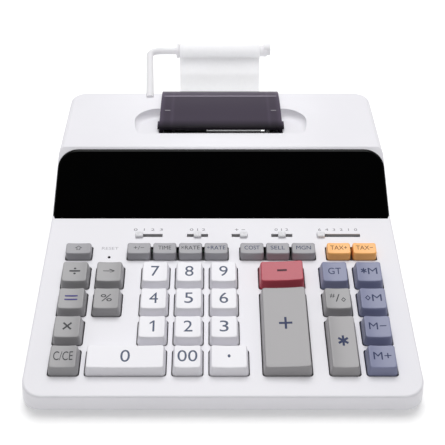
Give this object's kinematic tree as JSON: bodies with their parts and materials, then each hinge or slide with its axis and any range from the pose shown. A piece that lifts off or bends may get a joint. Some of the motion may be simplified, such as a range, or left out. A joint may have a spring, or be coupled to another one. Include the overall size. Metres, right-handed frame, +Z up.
{
  "type": "printing desk calculator",
  "caption": "White desktop printing calculator: sloped keyboard of tapered keys, black display window, smoked printer cover and a paper roll on a bent rear arm.",
  "frame": {"origin": "on the desk, under the centre of the box that holds the calculator and its paper roll", "axes": "+Z up, +Y from the front edge back to the paper roll, +X to the right as the user sees it"},
  "size_m": [0.2064, 0.2988, 0.0629],
  "materials": {
    "case_white": "fine satin moulded texture",
    "case_base": "fine satin moulded texture",
    "key_grey": "satin, slightly dished tops",
    "key_small_grey": "satin",
    "key_white": "satin, slightly dished tops",
    "key_pale_grey": "satin, slightly dished tops",
    "key_red": "satin",
    "key_blue": "satin",
    "key_orange": "satin",
    "switch_knob": "satin",
    "display_black": "polished, opaque black",
    "display_glass": "dark display tube",
    "cover_smoke": "smoked and translucent",
    "frame_dark": "dark moulded",
    "motor_steel": "plated",
    "head_ceramic": "bead blasted",
    "tear_steel": "brushed, toothed edge",
    "platen_rubber": "ground",
    "pinion_plastic": "natural",
    "paper": "smooth thermal paper",
    "arm_white": "satin",
    "board_green": "solder resist",
    "dome_rubber": "matt silicone",
    "feet_rubber": "matt",
    "screw_steel": "zinc plated"
  },
  "bodies": {
    "case": {"top_case": "case_white", "bottom_case": "case_base", "display_window": "display_black", "display_module": "display_glass", "printer_frame": "frame_dark", "print_motor": "motor_steel", "thermal_head": "head_ceramic", "tear_bar": "tear_steel", "paper_strip": "paper", "paper_arm": "arm_white", "circuit_board": "board_green", "dome_sheet": "dome_rubber", "rubber_feet": "feet_rubber", "case_screws": "screw_steel"},
    "cover": {"printer_cover": "cover_smoke"},
    "platen": {"platen_roller": "platen_rubber"},
    "pinion": {"motor_pinion": "pinion_plastic"},
    "roll": {"paper_roll": "paper"},
    "key_clear": {"key_clear": "key_grey"},
    "key_multiply": {"key_multiply": "key_grey"},
    "key_equals": {"key_equals": "key_grey"},
    "key_divide": {"key_divide": "key_grey"},
    "key_percent": {"key_percent": "key_grey"},
    "key_backspace": {"key_backspace": "key_grey"},
    "key_date": {"key_date": "key_grey"},
    "key_0": {"key_0": "key_white"},
    "key_00": {"key_00": "key_white"},
    "key_point": {"key_point": "key_white"},
    "key_1": {"key_1": "key_white"},
    "key_2": {"key_2": "key_white"},
    "key_3": {"key_3": "key_white"},
    "key_4": {"key_4": "key_white"},
    "key_5": {"key_5": "key_white"},
    "key_6": {"key_6": "key_white"},
    "key_7": {"key_7": "key_white"},
    "key_8": {"key_8": "key_white"},
    "key_9": {"key_9": "key_white"},
    "key_plus": {"key_plus": "key_pale_grey"},
    "key_total": {"key_total": "key_pale_grey"},
    "key_minus": {"key_minus": "key_red"},
    "key_grand_total": {"key_grand_total": "key_blue"},
    "key_memory_plus": {"key_memory_plus": "key_blue"},
    "key_memory_minus": {"key_memory_minus": "key_blue"},
    "key_memory_subtotal": {"key_memory_subtotal": "key_blue"},
    "key_memory_total": {"key_memory_total": "key_blue"},
    "key_paper_feed": {"key_paper_feed": "key_small_grey"},
    "key_sign": {"key_sign": "key_small_grey"},
    "key_time": {"key_time": "key_small_grey"},
    "key_rate_up": {"key_rate_up": "key_small_grey"},
    "key_rate_down": {"key_rate_down": "key_small_grey"},
    "key_cost": {"key_cost": "key_small_grey"},
    "key_sell": {"key_sell": "key_small_grey"},
    "key_margin": {"key_margin": "key_small_grey"},
    "key_tax_plus": {"key_tax_plus": "key_orange"},
    "key_tax_minus": {"key_tax_minus": "key_orange"},
    "switch_mode": {"switch_mode": "switch_knob"},
    "switch_grand_total": {"switch_grand_total": "switch_knob"},
    "switch_rounding": {"switch_rounding": "switch_knob"},
    "switch_decimal_shift": {"switch_decimal_shift": "switch_knob"},
    "switch_decimal_places": {"switch_decimal_places": "switch_knob"}
  },
  "joints": [
    {"name": "cover_hinge", "type": "hinge", "parent": "case", "child": "cover", "pos_m": [0, 0.0746, 0.048], "axis": [-1, 0, 0], "range_deg": [0, 75]},
    {"name": "platen_spin", "type": "hinge", "parent": "case", "child": "platen", "pos_m": [0, 0.0356, 0.045], "axis": [1, 0, 0], "continuous": true},
    {"name": "pinion_spin", "type": "hinge", "parent": "case", "child": "pinion", "pos_m": [0, 0.04624, 0.04688], "axis": [1, 0, 0], "continuous": true},
    {"name": "roll_spin", "type": "hinge", "parent": "case", "child": "roll", "pos_m": [0, 0.1399, 0.0534], "axis": [1, 0, 0], "continuous": true},
    {"name": "key_clear_press", "type": "slide", "parent": "case", "child": "key_clear", "axis": [0, 0.1392, -0.9903], "range_m": [0, 0.0022], "stiffness_N_per_m": 150, "springref_m": -0.001},
    {"name": "key_multiply_press", "type": "slide", "parent": "case", "child": "key_multiply", "axis": [0, 0.1392, -0.9903], "range_m": [0, 0.0022], "stiffness_N_per_m": 150, "springref_m": -0.001},
    {"name": "key_equals_press", "type": "slide", "parent": "case", "child": "key_equals", "axis": [0, 0.1392, -0.9903], "range_m": [0, 0.0022], "stiffness_N_per_m": 150, "springref_m": -0.001},
    {"name": "key_divide_press", "type": "slide", "parent": "case", "child": "key_divide", "axis": [0, 0.1392, -0.9903], "range_m": [0, 0.0022], "stiffness_N_per_m": 150, "springref_m": -0.001},
    {"name": "key_percent_press", "type": "slide", "parent": "case", "child": "key_percent", "axis": [0, 0.1392, -0.9903], "range_m": [0, 0.0022], "stiffness_N_per_m": 150, "springref_m": -0.001},
    {"name": "key_backspace_press", "type": "slide", "parent": "case", "child": "key_backspace", "axis": [0, 0.1392, -0.9903], "range_m": [0, 0.0022], "stiffness_N_per_m": 150, "springref_m": -0.001},
    {"name": "key_date_press", "type": "slide", "parent": "case", "child": "key_date", "axis": [0, 0.1392, -0.9903], "range_m": [0, 0.0022], "stiffness_N_per_m": 150, "springref_m": -0.001},
    {"name": "key_0_press", "type": "slide", "parent": "case", "child": "key_0", "axis": [0, 0.1392, -0.9903], "range_m": [0, 0.0022], "stiffness_N_per_m": 150, "springref_m": -0.001},
    {"name": "key_00_press", "type": "slide", "parent": "case", "child": "key_00", "axis": [0, 0.1392, -0.9903], "range_m": [0, 0.0022], "stiffness_N_per_m": 150, "springref_m": -0.001},
    {"name": "key_point_press", "type": "slide", "parent": "case", "child": "key_point", "axis": [0, 0.1392, -0.9903], "range_m": [0, 0.0022], "stiffness_N_per_m": 150, "springref_m": -0.001},
    {"name": "key_1_press", "type": "slide", "parent": "case", "child": "key_1", "axis": [0, 0.1392, -0.9903], "range_m": [0, 0.0022], "stiffness_N_per_m": 150, "springref_m": -0.001},
    {"name": "key_2_press", "type": "slide", "parent": "case", "child": "key_2", "axis": [0, 0.1392, -0.9903], "range_m": [0, 0.0022], "stiffness_N_per_m": 150, "springref_m": -0.001},
    {"name": "key_3_press", "type": "slide", "parent": "case", "child": "key_3", "axis": [0, 0.1392, -0.9903], "range_m": [0, 0.0022], "stiffness_N_per_m": 150, "springref_m": -0.001},
    {"name": "key_4_press", "type": "slide", "parent": "case", "child": "key_4", "axis": [0, 0.1392, -0.9903], "range_m": [0, 0.0022], "stiffness_N_per_m": 150, "springref_m": -0.001},
    {"name": "key_5_press", "type": "slide", "parent": "case", "child": "key_5", "axis": [0, 0.1392, -0.9903], "range_m": [0, 0.0022], "stiffness_N_per_m": 150, "springref_m": -0.001},
    {"name": "key_6_press", "type": "slide", "parent": "case", "child": "key_6", "axis": [0, 0.1392, -0.9903], "range_m": [0, 0.0022], "stiffness_N_per_m": 150, "springref_m": -0.001},
    {"name": "key_7_press", "type": "slide", "parent": "case", "child": "key_7", "axis": [0, 0.1392, -0.9903], "range_m": [0, 0.0022], "stiffness_N_per_m": 150, "springref_m": -0.001},
    {"name": "key_8_press", "type": "slide", "parent": "case", "child": "key_8", "axis": [0, 0.1392, -0.9903], "range_m": [0, 0.0022], "stiffness_N_per_m": 150, "springref_m": -0.001},
    {"name": "key_9_press", "type": "slide", "parent": "case", "child": "key_9", "axis": [0, 0.1392, -0.9903], "range_m": [0, 0.0022], "stiffness_N_per_m": 150, "springref_m": -0.001},
    {"name": "key_plus_press", "type": "slide", "parent": "case", "child": "key_plus", "axis": [0, 0.1392, -0.9903], "range_m": [0, 0.0022], "stiffness_N_per_m": 150, "springref_m": -0.001},
    {"name": "key_total_press", "type": "slide", "parent": "case", "child": "key_total", "axis": [0, 0.1392, -0.9903], "range_m": [0, 0.0022], "stiffness_N_per_m": 150, "springref_m": -0.001},
    {"name": "key_minus_press", "type": "slide", "parent": "case", "child": "key_minus", "axis": [0, 0.1392, -0.9903], "range_m": [0, 0.0022], "stiffness_N_per_m": 150, "springref_m": -0.001},
    {"name": "key_grand_total_press", "type": "slide", "parent": "case", "child": "key_grand_total", "axis": [0, 0.1392, -0.9903], "range_m": [0, 0.0022], "stiffness_N_per_m": 150, "springref_m": -0.001},
    {"name": "key_memory_plus_press", "type": "slide", "parent": "case", "child": "key_memory_plus", "axis": [0, 0.1392, -0.9903], "range_m": [0, 0.0022], "stiffness_N_per_m": 150, "springref_m": -0.001},
    {"name": "key_memory_minus_press", "type": "slide", "parent": "case", "child": "key_memory_minus", "axis": [0, 0.1392, -0.9903], "range_m": [0, 0.0022], "stiffness_N_per_m": 150, "springref_m": -0.001},
    {"name": "key_memory_subtotal_press", "type": "slide", "parent": "case", "child": "key_memory_subtotal", "axis": [0, 0.1392, -0.9903], "range_m": [0, 0.0022], "stiffness_N_per_m": 150, "springref_m": -0.001},
    {"name": "key_memory_total_press", "type": "slide", "parent": "case", "child": "key_memory_total", "axis": [0, 0.1392, -0.9903], "range_m": [0, 0.0022], "stiffness_N_per_m": 150, "springref_m": -0.001},
    {"name": "key_paper_feed_press", "type": "slide", "parent": "case", "child": "key_paper_feed", "axis": [0, 0.1392, -0.9903], "range_m": [0, 0.0022], "stiffness_N_per_m": 150, "springref_m": -0.001},
    {"name": "key_sign_press", "type": "slide", "parent": "case", "child": "key_sign", "axis": [0, 0.1392, -0.9903], "range_m": [0, 0.0022], "stiffness_N_per_m": 150, "springref_m": -0.001},
    {"name": "key_time_press", "type": "slide", "parent": "case", "child": "key_time", "axis": [0, 0.1392, -0.9903], "range_m": [0, 0.0022], "stiffness_N_per_m": 150, "springref_m": -0.001},
    {"name": "key_rate_up_press", "type": "slide", "parent": "case", "child": "key_rate_up", "axis": [0, 0.1392, -0.9903], "range_m": [0, 0.0022], "stiffness_N_per_m": 150, "springref_m": -0.001},
    {"name": "key_rate_down_press", "type": "slide", "parent": "case", "child": "key_rate_down", "axis": [0, 0.1392, -0.9903], "range_m": [0, 0.0022], "stiffness_N_per_m": 150, "springref_m": -0.001},
    {"name": "key_cost_press", "type": "slide", "parent": "case", "child": "key_cost", "axis": [0, 0.1392, -0.9903], "range_m": [0, 0.0022], "stiffness_N_per_m": 150, "springref_m": -0.001},
    {"name": "key_sell_press", "type": "slide", "parent": "case", "child": "key_sell", "axis": [0, 0.1392, -0.9903], "range_m": [0, 0.0022], "stiffness_N_per_m": 150, "springref_m": -0.001},
    {"name": "key_margin_press", "type": "slide", "parent": "case", "child": "key_margin", "axis": [0, 0.1392, -0.9903], "range_m": [0, 0.0022], "stiffness_N_per_m": 150, "springref_m": -0.001},
    {"name": "key_tax_plus_press", "type": "slide", "parent": "case", "child": "key_tax_plus", "axis": [0, 0.1392, -0.9903], "range_m": [0, 0.0022], "stiffness_N_per_m": 150, "springref_m": -0.001},
    {"name": "key_tax_minus_press", "type": "slide", "parent": "case", "child": "key_tax_minus", "axis": [0, 0.1392, -0.9903], "range_m": [0, 0.0022], "stiffness_N_per_m": 150, "springref_m": -0.001},
    {"name": "switch_mode_slide", "type": "slide", "parent": "case", "child": "switch_mode", "axis": [1, 0, 0], "range_m": [-0.0007, 0.0119]},
    {"name": "switch_grand_total_slide", "type": "slide", "parent": "case", "child": "switch_grand_total", "axis": [1, 0, 0], "range_m": [-0.0045, 0.0045]},
    {"name": "switch_rounding_slide", "type": "slide", "parent": "case", "child": "switch_rounding", "axis": [1, 0, 0], "range_m": [-0.0053, 0.0007]},
    {"name": "switch_decimal_shift_slide", "type": "slide", "parent": "case", "child": "switch_decimal_shift", "axis": [1, 0, 0], "range_m": [-0.0045, 0.0045]},
    {"name": "switch_decimal_places_slide", "type": "slide", "parent": "case", "child": "switch_decimal_places", "axis": [1, 0, 0], "range_m": [-0.0007, 0.0213]}
  ],
  "couplings": [
    {"joint": "pinion_spin", "follows": "platen_spin", "ratio": -2}
  ]
}
